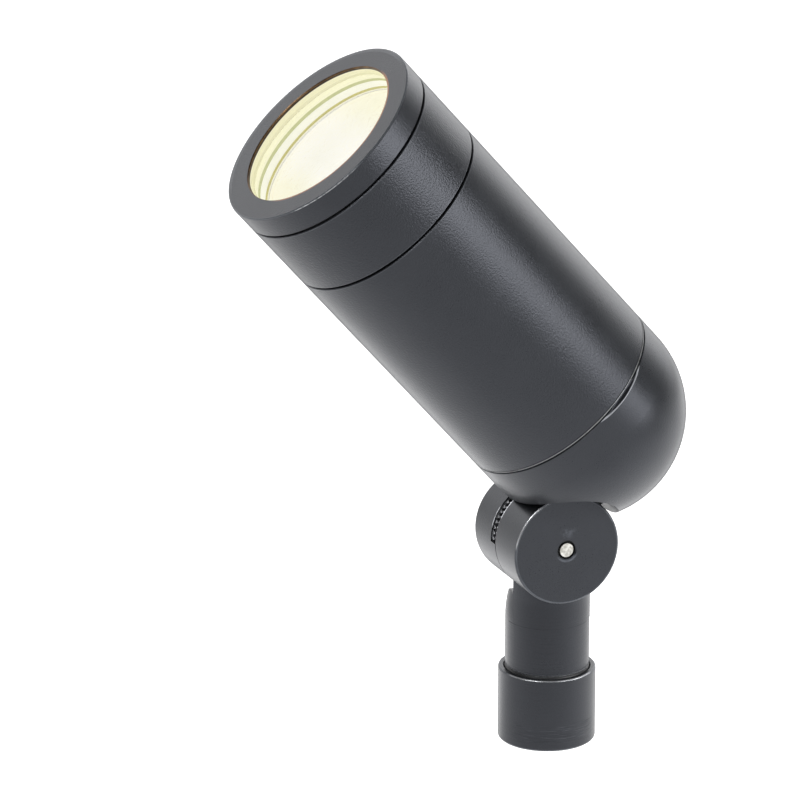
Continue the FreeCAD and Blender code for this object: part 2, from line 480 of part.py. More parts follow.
piece("lamp_retaining_ring", in_head(turned("lamp_ring", [
    ("23.85", "127.35"), ("dims.bore_rad - 0.05", "127.35"), ("dims.bore_rad - 0.05", "128.4"), ("24.1", "128.4"), ("23.85", "128.15")])))

# ---------------------------------------------------------------- lamp
sink_turned = turned("heat_sink", [
    ("8.0", "dims.lamp_low"), ("11.0", "dims.lamp_low"), ("dims.lamp_rad", "118.0"), ("dims.lamp_rad", "dims.lamp_top"),
    ("24.05", "dims.lamp_top"), ("24.05", "125.0"), ("23.2", "125.0"), ("10.0", "dims.lamp_floor"),
    ("0", "dims.lamp_floor"), ("0", "93.5"), ("8.0", "93.5")])
fin_cuts = []
for i in range(12):
    o = doc.addObject("Part::Box", "fin_slot_%d" % i)
    bind(o, Length="14", Width="2.2", Height="26", bz="91")
    turn_i = FreeCAD.Rotation(V(0, 0, 1), 30.0 * i)
    o.Placement = FreeCAD.Placement(turn_i.multVec(V(14.6, -1.1, 91)), turn_i.multiply(FreeCAD.Rotation(V(0, 1, 0), 24)))
    o.setExpression("Placement.Base.z", "91")
    fin_cuts.append(o)
piece("lamp_heat_sink", in_head(cut("sink_finned", sink_turned, *fin_cuts)))
piece("lamp_front_lens", in_head(turned("lamp_lens", [
    ("0", "125.03"), ("24.0", "125.03"), ("24.0", "dims.lamp_lens_top"), ("0", "dims.lamp_lens_top")])))
piece("lamp_optic", in_head(turned("optic", [
    ("5.4", "98.9"), ("6.2", "98.9"), ("9.9", "102.0"), ("22.4", "124.8"), ("21.6", "124.8"), ("9.1", "102.0")])))
piece("lamp_led_board", in_head(turned("led_board", [
    ("0", "dims.lamp_floor + 0.02"), ("9.4", "dims.lamp_floor + 0.02"), ("9.4", "98.6"), ("0", "98.6")])))
emit = turned("led_chip", [("0", "98.62"), ("4.6", "98.62"), ("4.6", "99.5"), ("3.6", "100.1"), ("0", "100.4")])
piece("lamp_led_emitter", in_head(emit))
base_turned = turned("plug_base", [
    ("0", "dims.base_low"), ("dims.base_rad", "dims.base_low"), ("dims.base_rad", "dims.lamp_low - 0.02"),
    ("7.9", "dims.lamp_low - 0.02"), ("7.9", "dims.base_low + 2"), ("0", "dims.base_low + 2")])
piece("lamp_base", in_head(cut("plug_base_bored", base_turned,
                              cyl("pin_hole_p", "dims.pin_rad + 0.02", "dims.base_low - 1", "dims.base_low + 3", y="dims.pin_half"),
                              cyl("pin_hole_n", "dims.pin_rad + 0.02", "dims.base_low - 1", "dims.base_low + 3", y="-dims.pin_half"))))
piece("lamp_pins", in_head(fuse("pins", cyl("pin_p", "dims.pin_rad", "dims.pin_low", "dims.base_low + 3.5", y="dims.pin_half"),
                               cyl("pin_n", "dims.pin_rad", "dims.pin_low", "dims.base_low + 3.5", y="-dims.pin_half"))))
piece("lamp_driver_board", in_head(box("driver_board", "-6.3", "6.3", "-0.6", "0.6", "dims.base_low + 4", "92.5")))
piece("lamp_driver_parts", in_head(fuse("driver_parts", cyl("cap_a", "1.9", "82", "89", y="2.55"),
                                       box("coil", "-5.5", "-1.5", "-4.6", "-0.62", "82", "88"),
                                       box("chip", "1.5", "5.0", "-2.2", "-0.62", "83", "87"))))

# ---------------------------------------------------------------- lamp holder
holder_block = box("holder_block", "-6.5", "6.5", "-11.5", "11.5", "dims.socket_low", "dims.socket_top")
piece("lamp_socket", in_head(cut("holder", holder_block,
                                cyl("contact_hole_p", "1.65", "66.2", "dims.socket_top + 1", y="dims.pin_half"),
                                cyl("contact_hole_n", "1.65", "66.2", "dims.socket_top + 1", y="-dims.pin_half"),
                                cyl("wire_hole_p", "dims.lead_rad + 0.05", "dims.socket_low - 1", "67", y="dims.pin_half"),
                                cyl("wire_hole_n", "dims.lead_rad + 0.05", "dims.socket_low - 1", "67", y="-dims.pin_half"),
                                cyl("holder_screw_p", "1.02", "dims.socket_low - 1", "70", y="8.6"),
                                cyl("holder_screw_n", "1.02", "dims.socket_low - 1", "70", y="-8.6"))))
piece("socket_contacts", in_head(cut("contacts", fuse("contact_rods", cyl("contact_p", "1.6", "68", "74", y="dims.pin_half"),
                                                     cyl("contact_n", "1.6", "68", "74", y="-dims.pin_half")),
                                    cyl("contact_bore_p", "dims.pin_rad + 0.03", "66", "76", y="dims.pin_half"),
                                    cyl("contact_bore_n", "dims.pin_rad + 0.03", "66", "76", y="-dims.pin_half"))))
plate = box("bracket_plate", "-6", "6", "-25", "25", "dims.bracket_low", "dims.bracket_low + dims.bracket_thick")
piece("socket_bracket", in_head(cut("bracket", plate, box("lead_window", "-3", "3", "-5", "5", "60", "66"),
                                   cyl("bracket_hole_p", "1.7", "60", "66", y="dims.boss_y"), cyl("bracket_hole_n", "1.7", "60", "66", y="-dims.boss_y"),
                                   cyl("bracket_hole_q", "1.2", "60", "66", y="8.6"), cyl("bracket_hole_r", "1.2", "60", "66", y="-8.6"))))
screws = []
for tag, sign in (("p", ""), ("n", "-")):
    head_i = cyl("m3_head_" + tag, "2.75", "dims.bracket_low + dims.bracket_thick + 0.02", "dims.bracket_low + dims.bracket_thick + 2", y=sign + "dims.boss_y")
    shank_i = cyl("m3_shank_" + tag, "1.5", "55.5", "dims.bracket_low + dims.bracket_thick + 1", y=sign + "dims.boss_y")
    cross_i = box("m3_cross_" + tag, "-0.35", "0.35", "%s-2" % (sign + "dims.boss_y"), "%s+2" % (sign + "dims.boss_y"), "65.1", "67")
    screws.append(cut("m3_" + tag, fuse("m3_solid_" + tag, head_i, shank_i), cross_i))
both = doc.addObject("Part::Compound", "m3_pair")
both.Links = screws
piece("bracket_screws", in_head(both))
small = []
for tag, sign in (("p", ""), ("n", "-")):
    small.append(fuse("m2_" + tag, cyl("m2_head_" + tag, "1.9", "61.2", "dims.bracket_low - 0.02", y=sign + "8.6"),
                      cyl("m2_shank_" + tag, "1.0", "62", "69", y=sign + "8.6")))
both_small = doc.addObject("Part::Compound", "m2_pair")
both_small.Links = small
piece("socket_screws", in_head(both_small))

# two lamp leads inside the head, from the lamp holder down to the splice caps
leads = []
for s in (1, -1):
    route = routed([V(0, s * dim("pin_half"), 67.4), V(0, s * dim("pin_half"), 58.0), V(0, s * 5.6, 50.0), V(0, s * 5.6, 40.0)], 9.0)
    leads.append(swept(route, dim("lead_rad")))
piece("socket_leads", head_shape("leads", Part.makeCompound(leads)))
caps = []
for tag, sign in (("p", ""), ("n", "-")):
    cap = doc.addObject("Part::Cone", "cap_" + tag)
    bind(cap, Radius1="3.1", Radius2="4.5", Height="16", by=sign + "5.6", bz="30")
    caps.append(cut("splice_" + tag, cap, cyl("cap_room_" + tag, "3.0", "37", "47", y=sign + "5.6")))
both_caps = doc.addObject("Part::Compound", "cap_pair")
both_caps.Links = caps
piece("wire_connectors", in_head(both_caps))

# ---------------------------------------------------------------- check and write
doc.recompute()
for o in doc.Objects:
    if "Invalid" in o.State or "Error" in o.State:
        raise RuntimeError("%s failed: %s" % (o.Name, o.State))
os.makedirs("parts", exist_ok=True)
for node, o in PARTS.items():
    shape = o.Shape
    if shape.isNull() or not shape.isValid() or not shape.Solids:
        raise RuntimeError("bad shape: " + node)
    for s in shape.Solids:
        if s.Volume <= 0:
            raise RuntimeError("inside-out solid: " + node)
    shape.exportStep("parts/%s.step" % node)
    b = shape.BoundBox
    print("%-22s solids %d volume %9.1f  x %.1f..%.1f y %.1f..%.1f z %.1f..%.1f" % (
        node, len(shape.Solids), shape.Volume, b.XMin, b.XMax, b.YMin, b.YMax, b.ZMin, b.ZMax))
print("nodes", len(PARTS))
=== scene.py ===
import math

import bmesh
import bpy
from mathutils import Matrix, Vector


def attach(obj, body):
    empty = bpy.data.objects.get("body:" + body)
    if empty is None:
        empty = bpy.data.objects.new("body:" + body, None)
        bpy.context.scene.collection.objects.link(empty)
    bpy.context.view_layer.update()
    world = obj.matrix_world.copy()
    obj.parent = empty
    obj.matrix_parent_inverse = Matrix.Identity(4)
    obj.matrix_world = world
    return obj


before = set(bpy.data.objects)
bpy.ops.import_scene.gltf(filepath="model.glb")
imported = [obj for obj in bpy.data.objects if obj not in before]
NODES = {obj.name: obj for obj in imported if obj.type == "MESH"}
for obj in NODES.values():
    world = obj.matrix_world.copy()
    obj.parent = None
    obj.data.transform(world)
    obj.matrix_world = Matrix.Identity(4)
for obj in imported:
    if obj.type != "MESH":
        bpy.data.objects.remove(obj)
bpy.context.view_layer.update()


MM = 0.001

# The head's own frame: origin on the tube's axis beside the pivot, EN up and forward, ED along the beam.
TILT = math.radians(41.14)
EN = Vector((math.cos(TILT), 0.0, math.sin(TILT)))
ED = Vector((-math.sin(TILT), 0.0, math.cos(TILT)))
H0 = Vector((29.36 * math.cos(TILT), 0.0, 58.5 + 29.36 * math.sin(TILT))) * MM
PIVOT = Vector((0.0, 0.0, 58.5)) * MM


# ---------------------------------------------------------------- camera
cam_data = bpy.data.cameras.new("camera")
cam_data.sensor_width = 36.0
cam_data.sensor_fit = "HORIZONTAL"
cam_data.lens = 278.55
cam_data.clip_start = 0.05
cam_data.clip_end = 100.0
cam = bpy.data.objects.new("camera", cam_data)
bpy.context.scene.collection.objects.link(cam)
az, el, roll = (math.radians(v) for v in (-22.888, 18.489, 0.071))
back = Vector((math.sin(az) * math.cos(el), -math.cos(az) * math.cos(el), math.sin(el)))
right = Vector((math.cos(az), math.sin(az), 0.0))
up = back.cross(right)
right, up = (right * math.cos(roll) + up * math.sin(roll), up * math.cos(roll) - right * math.sin(roll))
turn = Matrix((right, up, back)).transposed().to_4x4()
cam.matrix_world = Matrix.Translation((-0.65989, -1.45849, 0.63292)) @ turn
bpy.context.scene.camera = cam

view = bpy.context.scene.view_settings
view.view_transform = "Standard"
view.look = "None"
view.exposure = 0.0
view.gamma = 1.0


# ---------------------------------------------------------------- node helpers
class Tree:
    """A material or world node tree, with short calls for the nodes that this file uses."""

    def __init__(self, owner):
        owner.use_nodes = True
        self.nt = owner.node_tree
        self.nt.nodes.clear()

    def add(self, kind, **props):
        n = self.nt.nodes.new("ShaderNode" + kind)
        for k, v in props.items():
            setattr(n, k, v)
        return n

    def put(self, socket, value):
        if isinstance(value, bpy.types.NodeSocket):
            self.nt.links.new(value, socket)
        elif value is not None:
            socket.default_value = value

    def math(self, op, a, b=None, c=None, clamp=False):
        n = self.add("Math", operation=op, use_clamp=clamp)
        for i, v in enumerate((a, b, c)):
            self.put(n.inputs[i], v)
        return n.outputs[0]

    def vmath(self, op, a, b=None):
        n = self.add("VectorMath", operation=op)
        self.put(n.inputs[0], a)
        self.put(n.inputs[1], b)
        return n.outputs["Value"] if op in ("DOT_PRODUCT", "LENGTH", "DISTANCE") else n.outputs["Vector"]

    def sum(self, *parts):
        total = parts[0]
        for p in parts[1:]:
            total = self.math("ADD", total, p)
        return total

    def prod(self, *parts):
        total = parts[0]
        for p in parts[1:]:
            total = self.math("MULTIPLY", total, p)
        return total

    def ramp(self, x, lo, hi, a=0.0, b=1.0, smooth=True):
        n = self.add("MapRange", interpolation_type="SMOOTHSTEP" if smooth else "LINEAR")
        for i, v in enumerate((x, lo, hi, a, b)):
            self.put(n.inputs[i], v)
        return n.outputs[0]

    def band(self, x, lo, hi, soft):
        """1 between lo and hi, falling to 0 over soft outside."""
        return self.math("MULTIPLY", self.ramp(x, lo - soft, lo), self.ramp(x, hi, hi + soft, 1.0, 0.0))

    def noise(self, vec, scale, detail=2.0, rough=0.5, distortion=0.0, out="Fac"):
        n = self.add("TexNoise")
        self.put(n.inputs["Vector"], vec)
        n.inputs["Scale"].default_value = scale
        n.inputs["Detail"].default_value = detail
        n.inputs["Roughness"].default_value = rough
        n.inputs["Distortion"].default_value = distortion
        return n.outputs[out]

    def cells(self, vec, scale, feature="F1", out="Distance", randomness=1.0):
        n = self.add("TexVoronoi", feature=feature)
        self.put(n.inputs["Vector"], vec)
        n.inputs["Scale"].default_value = scale
        n.inputs["Randomness"].default_value = randomness
        return n.outputs[out]

    def mix(self, fac, a, b):
        n = self.add("Mix", data_type="RGBA")
        self.put(n.inputs["Factor"], fac)
        self.put(n.inputs[6], a if not isinstance(a, tuple) else (*a, 1.0))
        self.put(n.inputs[7], b if not isinstance(b, tuple) else (*b, 1.0))
        return n.outputs[2]

    def mixf(self, fac, a, b):
        n = self.add("Mix", data_type="FLOAT")
        self.put(n.inputs["Factor"], fac)
        self.put(n.inputs[2], a)
        self.put(n.inputs[3], b)
        return n.outputs[0]

    def place(self):
        return self.add("TexCoord").outputs["Object"]

    def xyz(self, vec):
        n = self.add("SeparateXYZ")
        self.put(n.inputs[0], vec)
        return n.outputs

    def join(self, x, y, z):
        n = self.add("CombineXYZ")
        for i, v in enumerate((x, y, z)):
            self.put(n.inputs[i], v)
        return n.outputs[0]

    def about(self, origin, axis_x, axis_y, axis_z):
        """Object coordinates in a frame of its own, in millimetres."""
        d = self.vmath("SUBTRACT", self.place(), tuple(origin))
        return self.join(*(self.math("MULTIPLY", self.vmath("DOT_PRODUCT", d, tuple(a)), 1000.0) for a in (axis_x, axis_y, axis_z)))

    def polar(self, vec):
        """Radius, angle in radians and height of a point about its frame's third axis."""
        x, y, z = self.xyz(vec)
        return self.math("SQRT", self.math("ADD", self.math("MULTIPLY", x, x), self.math("MULTIPLY", y, y))), self.math("ARCTAN2", y, x), z

    def bump(self, height, distance, strength=1.0, normal=None):
        n = self.add("Bump")
        n.inputs["Strength"].default_value = strength
        n.inputs["Distance"].default_value = distance
        self.put(n.inputs["Height"], height)
        self.put(n.inputs["Normal"], normal)
        return n.outputs[0]


def principled(name, build, **fixed):
    """A material with one Principled shader. build(tree) returns what the nodes drive; fixed values sit on the shader's sockets."""
    m = bpy.data.materials.new(name)
    t = Tree(m)
    out = t.add("OutputMaterial")
    p = t.add("BsdfPrincipled")
    t.put(out.inputs["Surface"], p.outputs[0])
    driven = build(t) or {}
    for key, value in list(fixed.items()) + list(driven.items()):
        socket = p.inputs[key.replace("_", " ")]
        if isinstance(value, tuple) and len(value) == 3:
            value = (*value, 1.0)
        t.put(socket, value)
    return m


HEAD = (H0, EN, Vector((0, 1, 0)), ED)
KNUCKLE = (PIVOT, Vector((1, 0, 0)), Vector((0, 0, 1)), Vector((0, -1, 0)))
STEM = (Vector((0, 0, 0)), Vector((1, 0, 0)), Vector((0, 1, 0)), Vector((0, 0, 1)))

COAT_DARK = (0.0128, 0.0140, 0.0160)
COAT_MID = (0.0172, 0.0186, 0.0210)
# A lighter coat colour painted on edges as a highlight.
EDGE_HIGHLIGHT_PAINT = (0.13, 0.14, 0.155)
BARE = (0.66, 0.67, 0.69)
COPPER = (0.22, 0.135, 0.070)
CREAM = (0.85, 0.813, 0.563)


def coat_base(t, frame_axes, peel=1.0):
    """The satin powder coat: broad faint mottling, orange peel and a fine grain, all at their real size."""
    p = t.about(*frame_axes)
    broad = t.noise(p, 0.055, 3.0, 0.55)
    peel_n = t.noise(p, 2.05, 1.0, 0.5)
    grain = t.noise(p, 4.2, 1.0, 0.5)
    speck = t.cells(p, 2.6)
    colour = t.mix(t.ramp(broad, 0.3, 0.7), COAT_DARK, COAT_MID)
    colour = t.mix(t.math("MULTIPLY", t.ramp(grain, 0.52, 0.72), 0.18), colour, (0.034, 0.037, 0.041))
    height = t.sum(t.prod(peel_n, 0.80), t.prod(grain, 0.20), t.prod(speck, -0.10))
    rough = t.sum(0.300, t.prod(t.math("SUBTRACT", broad, 0.5), 0.08), t.prod(t.math("SUBTRACT", grain, 0.5), 0.12))
    normal = t.bump(height, 0.000036 * peel)
    return p, colour, rough, normal, height


def coat(name, build, painted_lamp_glow=0.0):
    """Every coated casting has the same slightly blue gloss, duller when seen edge on, as powder coat is."""
    def duller(t):
        made = build(t)
        edge_on = t.add("LayerWeight")
        edge_on.inputs["Blend"].default_value = 0.5
        made["Roughness"] = t.math("ADD", made["Roughness"], t.ramp(edge_on.outputs["Facing"], 0.78, 0.96, 0.0, 0.20))
        return made
    # The last argument sets the strength of a painted glow; only the bezel gets one.
    return principled(name, duller, Specular_IOR_Level=0.57, Specular_Tint=(0.850, 0.886, 1.0), Emission_Strength=painted_lamp_glow)


def build_cap(t):
    p, colour, rough, normal, _ = coat_base(t, HEAD, 3.2)
    r, a, s = t.polar(p)
    # Painted highlight: lighter coat along the outer edges of both grooves.
    near_a = t.band(s, 129.10, 129.36, 0.06)
    near_b = t.band(s, 108.95, 109.15, 0.06)
    edge = t.prod(t.math("MAXIMUM", near_a, near_b), t.ramp(r, 29.7, 29.95), t.ramp(t.noise(p, 0.5, 3.0, 0.6), 0.25, 0.6, 0.35, 1.0))
    colour = t.mix(t.math("MULTIPLY", edge, 0.35), colour, EDGE_HIGHLIGHT_PAINT)
    # Painted light in the grooves: the end faces seen in the gaps are lighter.
    colour = t.mix(t.ramp(r, 29.20, 29.55, 0.8, 0.0), colour, (0.085, 0.088, 0.092))
    return {"Base_Color": colour, "Roughness": rough, "Normal": normal}


def build_bezel(t):
    p, colour, rough, normal, height = coat_base(t, HEAD, 2.1)
    r, a, s = t.polar(p)
    # A painted highlight of lighter coat runs along the rim's outer corner; bare metal chips sit where the ring is
    # gripped.
    painted_corner_highlight = t.math("MULTIPLY", t.band(r, 29.55, 30.1, 0.10), t.ramp(s, 136.60, 136.78))
    gripped = t.band(a, -2.24, -1.75, 0.15)
    chips = t.ramp(t.noise(p, 0.9, 4.0, 0.7), 0.40, 0.50, 0.15, 1.0)
    bare = t.prod(t.band(r, 29.74, 30.1, 0.06), t.band(s, 136.68, 136.86, 0.06), gripped, chips)
    copper = t.math("MULTIPLY", t.ramp(r, 23.40, 23.55, 1.0, 0.0), t.ramp(s, 136.40, 136.55))
    # Painted warm glint: an orange, glowing line on part of the aperture's front chamfer.
    painted_warm_glint = t.prod(t.ramp(r, 23.80, 23.95, 1.0, 0.0), t.ramp(s, 136.60, 136.80), t.band(a, -2.5, -0.3, 0.3))
    # Painted highlight: a light line on one side of the face, just inside the outer corner.
    painted_face_highlight = t.prod(t.band(r, 28.80, 29.55, 0.35), t.ramp(s, 136.70, 136.85), t.band(a, 0.0, 2.5, 0.35))
    # Painted lamp light on the aperture's inner wall: a brownish tint, and a cream glow on its deeper part.
    wall = t.ramp(r, 23.40, 23.55, 1.0, 0.0)
    painted_lamp_glow = t.math("MULTIPLY", wall, t.ramp(s, 136.05, 136.15, 1.0, 0.0))
    tarnish = t.noise(p, 0.35, 3.0, 0.6)
    colour = t.mix(t.math("MULTIPLY", painted_corner_highlight, 0.50), colour, (0.20, 0.215, 0.235))
    colour = t.mix(t.math("MULTIPLY", painted_face_highlight, 0.45), colour, (0.20, 0.21, 0.225))
    colour = t.mix(t.math("MULTIPLY", wall, 0.8), colour, (0.020, 0.012, 0.010))
    colour = t.mix(copper, colour, t.mix(t.ramp(tarnish, 0.35, 0.65), COPPER, (0.13, 0.085, 0.055)))
    colour = t.mix(t.math("MULTIPLY", painted_warm_glint, 0.9), colour, (0.30, 0.125, 0.045))
    colour = t.mix(painted_lamp_glow, colour, (0.24, 0.23, 0.16))
    colour = t.mix(bare, colour, BARE)
    copper = t.math("MULTIPLY", copper, t.math("SUBTRACT", 1.0, painted_warm_glint))
    rough = t.mixf(t.math("MAXIMUM", copper, bare), rough, 0.36)
    return {"Base_Color": colour, "Roughness": rough, "Metallic": t.math("MAXIMUM", copper, bare), "Normal": normal,
            "Emission_Color": t.mix(painted_lamp_glow, t.mix(painted_warm_glint, (0.0, 0.0, 0.0), (0.16, 0.055, 0.012)), CREAM)}


def build_tube(t):
    p, colour, rough, normal, height = coat_base(t, HEAD, 2.1)
    r, a, s = t.polar(p)
    # Painted highlight: lighter coat on the land beside the dome seam, broken along it.
    land = t.math("MULTIPLY", t.band(s, 31.14, 31.40, 0.02), t.ramp(r, 29.70, 29.82))
    broken = t.ramp(t.noise(p, 0.45, 2.0, 0.6), 0.25, 0.5, 0.55, 1.0)
    wear_and_painted_sheen = t.math("MULTIPLY", land, broken)
    # Painted highlight: lighter coat along the groove's edge.
    edge = t.prod(t.band(s, 107.85, 108.02, 0.08), t.ramp(r, 29.7, 29.95), t.ramp(t.noise(p, 0.5, 3.0, 0.6), 0.25, 0.6, 0.35, 1.0))
    colour = t.mix(t.math("MULTIPLY", edge, 0.35), colour, EDGE_HIGHLIGHT_PAINT)
    colour = t.mix(wear_and_painted_sheen, colour, (0.36, 0.365, 0.37))
    return {"Base_Color": colour, "Roughness": t.mixf(wear_and_painted_sheen, rough, 0.34), "Normal": normal}


def build_dome(t):
    p, colour, rough, normal, height = coat_base(t, HEAD)
    hr, ha, hs = t.polar(p)
    # Painted highlight: a light line round the pry slot's lip.
    across = t.math("DIVIDE", t.math("MULTIPLY", t.math("ADD", ha, 1.2479), 30.0), 9.0)
    along = t.math("DIVIDE", t.math("SUBTRACT", hs, 31.17), 1.42)
    painted_lip_highlight = t.math("SQRT", t.sum(t.prod(across, across), t.prod(along, along)))
    painted_lip_highlight = t.prod(t.band(painted_lip_highlight, 1.0, 1.16, 0.06), t.ramp(hr, 29.93, 29.98))
    k = t.about(*KNUCKLE)
    r, a, h = t.polar(k)
    tooth = t.math("MULTIPLY", t.band(h, -3.78, -2.15, 0.05), t.band(r, 13.6, 15.0, 0.15))
    streak = t.noise(t.join(t.prod(a, 7.0), t.prod(h, 3.4), t.prod(r, 2.0)), 1.15, 3.0, 0.6, 1.2)
    wear_and_painted_sheen = t.math("MULTIPLY", tooth, t.ramp(streak, 0.44, 0.50))
    # Thin light line on the cheek's edge beside the open teeth.
    rim = t.prod(t.band(h, -4.05, -3.78, 0.04), t.ramp(r, 15.30, 15.42), t.band(a, 2.56, 2.86, 0.10))
    rim = t.math("MULTIPLY", rim, t.ramp(t.noise(p, 0.55, 2.0, 0.6), 0.30, 0.5, 0.4, 1.0))
    # Painted highlight: lighter coat on the cheek's back edge.
    back = t.math("MULTIPLY", t.ramp(h, -14.55, -14.80), t.band(r, 14.9, 15.6, 0.1))
    bare = t.math("MAXIMUM", wear_and_painted_sheen, rim)
    colour = t.mix(t.math("MULTIPLY", painted_lip_highlight, 0.85), colour, (0.34, 0.35, 0.37))
    colour = t.mix(t.math("MULTIPLY", back, 0.35), colour, EDGE_HIGHLIGHT_PAINT)
    colour = t.mix(bare, colour, BARE)
    return {"Base_Color": colour, "Roughness": t.mixf(bare, rough, 0.36), "Metallic": bare, "Normal": normal}


def build_knuckle(t):
    p, colour, rough, normal, height = coat_base(t, STEM, 0.6)
    sr, sa, sz = t.polar(p)
    k = t.about(*KNUCKLE)
    r, a, h = t.polar(k)
    x, y, z = t.xyz(k)
    face = t.ramp(h, 12.3, 12.6)
    # Lighter coat round the screw hole: a painted highlight in a crescent below it, and a faint lighter patch above.
    below = t.prod(t.band(r, 2.62, 3.25, 0.25), t.ramp(y, -1.0, -2.3), t.ramp(t.noise(k, 0.9, 2.0, 0.6), 0.35, 0.6, 0.6, 1.0))
    dx = t.math("SUBTRACT", x, 0.5)
    dy = t.math("SUBTRACT", y, 5.0)
    patch = t.ramp(t.math("SQRT", t.sum(t.prod(dx, dx, 0.40), t.prod(dy, dy, 0.9))), 0.2, 2.1, 1.0, 0.0)
    patch = t.math("MULTIPLY", patch, t.ramp(t.noise(k, 0.7, 3.0, 0.6), 0.38, 0.62))
    smudge_and_painted_highlight = t.math("MULTIPLY", face, t.math("MAXIMUM", below, t.math("MULTIPLY", patch, 0.60)))
    # A painted highlight of lighter coat runs all round the disc's rounded front edge; part of it is rubbed to bare
    # metal.
    edge = t.math("MULTIPLY", t.ramp(h, 12.25, 12.45), t.band(r, 14.95, 15.6, 0.12))
    rubbed = t.prod(t.ramp(h, 12.34, 12.44), t.ramp(h, 12.70, 12.64, 0.0, 1.0), t.band(r, 15.20, 15.46, 0.06), t.band(a, 2.05, 2.74, 0.30))
    edge = t.math("MULTIPLY", edge, t.ramp(t.noise(k, 0.25, 3.0, 0.6), 0.30, 0.65, 0.45, 1.0))
    # Teeth with rubbed ends, and the disc's back rim beside them.
    tooth = t.math("MULTIPLY", t.band(h, -2.15, -0.62, 0.05), t.band(r, 13.6, 15.0, 0.15))
    streak = t.noise(t.join(t.prod(a, 7.0), t.prod(h, 3.4), t.prod(r, 2.0)), 1.25, 3.0, 0.6, 1.2)
    wear_and_painted_sheen = t.math("MULTIPLY", tooth, t.ramp(streak, 0.42, 0.48))
    rim = t.prod(t.band(h, -0.62, -0.32, 0.05), t.ramp(r, 15.30, 15.42), t.band(a, 2.26, 2.62, 0.12))
    rim = t.math("MULTIPLY", rim, t.ramp(t.noise(p, 0.55, 2.0, 0.6), 0.28, 0.5, 0.4, 1.0))
    # Stem: fine turning, a dark line where it meets the neck, and a painted highlight of lighter coat on its bottom
    # edge.
    rings = t.noise(t.join(t.prod(sa, 0.5), sz, 0.0), 2.2, 3.0, 0.7)
    lines = t.noise(t.join(t.prod(sa, 1.2), t.prod(sz, 3.4), 0.0), 1.0, 2.0, 0.6)
    turned = t.ramp(sz, 36.5, 41.0, 1.0, 0.15)
    normal = t.bump(t.math("MULTIPLY", t.sum(rings, t.prod(lines, 0.6)), turned), 0.000050, 1.0, normal)
    seam = t.prod(t.band(sz, 35.28, 35.42, 0.07), t.ramp(sa, -0.4, -0.9), t.ramp(t.noise(p, 0.3, 2.0, 0.6), 0.3, 0.6, 0.4, 1.0))
    painted_foot_highlight = t.math("MULTIPLY", t.band(sz, 21.5, 21.85, 0.08), t.ramp(sr, 11.3, 11.45))
    # Painted shade: the stem's coat is darker below 41 mm.
    colour = t.mix(t.ramp(sz, 41.0, 44.0, 0.45, 0.0), colour, (0.0, 0.0, 0.0))
    colour = t.mix(t.math("MULTIPLY", seam, 0.9), colour, (0.002, 0.002, 0.003))
    rough = t.sum(rough, t.prod(seam, 0.35))
    colour = t.mix(t.math("MULTIPLY", painted_foot_highlight, 0.6), colour, EDGE_HIGHLIGHT_PAINT)
    colour = t.mix(smudge_and_painted_highlight, colour, (0.080, 0.087, 0.100))
    # Painted shade: the screw hole's mouth is near black.
    painted_hole_shade = t.math("MULTIPLY", t.ramp(r, 2.66, 2.60, 0.0, 1.0), t.ramp(h, 11.9, 12.1))
    colour = t.mix(painted_hole_shade, colour, (0.001, 0.001, 0.001))
    rough = t.sum(rough, t.prod(painted_hole_shade, 0.5))
    colour = t.mix(t.math("MULTIPLY", edge, 0.55), colour, EDGE_HIGHLIGHT_PAINT)
    bare = t.math("MAXIMUM", t.math("MAXIMUM", wear_and_painted_sheen, rim), rubbed)
    colour = t.mix(bare, colour, BARE)
    colour = t.mix(rubbed, colour, (0.96, 0.97, 1.0))
    return {"Base_Color": colour, "Roughness": t.mixf(bare, rough, 0.33), "Metallic": bare, "Normal": normal}


